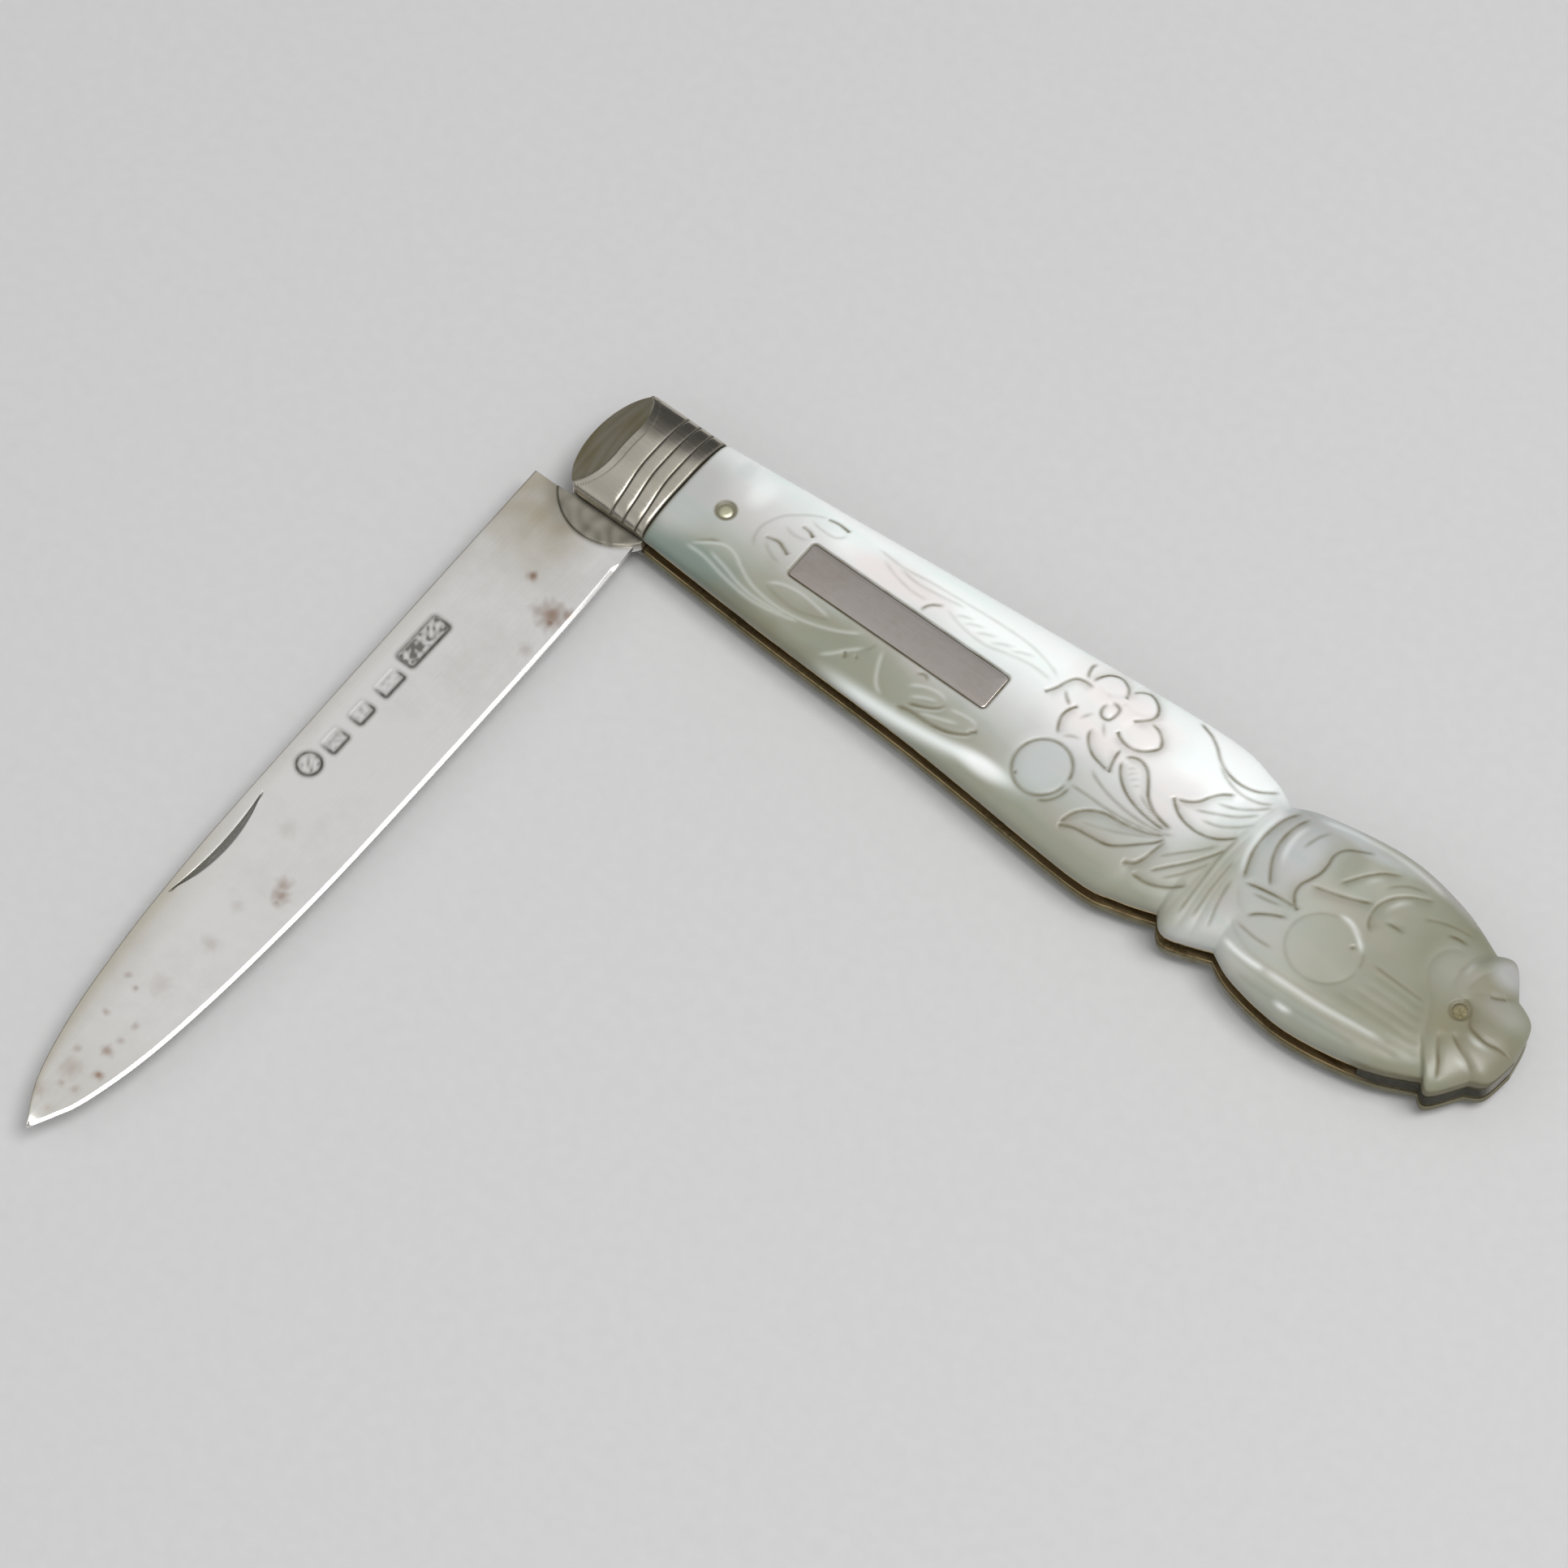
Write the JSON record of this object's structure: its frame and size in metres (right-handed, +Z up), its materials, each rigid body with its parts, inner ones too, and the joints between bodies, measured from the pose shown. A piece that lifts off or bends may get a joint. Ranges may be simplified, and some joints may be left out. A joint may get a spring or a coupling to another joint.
{
  "type": "folding fruit knife",
  "caption": "Folding pocket fruit knife: a pointed silver blade on a slip joint, domed silver bolsters, carved mother-of-pearl scales and a plain name plate.",
  "frame": {"origin": "on the flat crown of the back scale, under the middle of the handle's length on its centre line", "axes": "+X along the handle to its tail, +Y to the handle's back where the spring is, +Z up through the front scale"},
  "size_m": [0.0866, 0.0781, 0.0056],
  "materials": {
    "silver": "polished",
    "pearl": "gloss",
    "liner": "satin",
    "steel": "satin"
  },
  "bodies": {
    "handle": {"front_bolster": "silver", "back_bolster": "silver", "name_plate": "silver", "pivot_pin": "silver", "front_scale": "pearl", "back_scale": "pearl", "front_liner": "liner", "back_liner": "liner", "front_scale_pin": "liner", "back_scale_pin": "liner", "tail_pin": "liner", "back_spring": "steel", "spring_pin": "steel"},
    "blade": {"blade": "silver"}
  },
  "joints": [
    {"name": "blade_hinge", "type": "hinge", "parent": "handle", "child": "blade", "pos_m": [-0.0373, -0.00145, 0.00282], "axis": [0, 0, 1], "range_deg": [-90, 86], "deforming": ["back_spring"]}
  ]
}
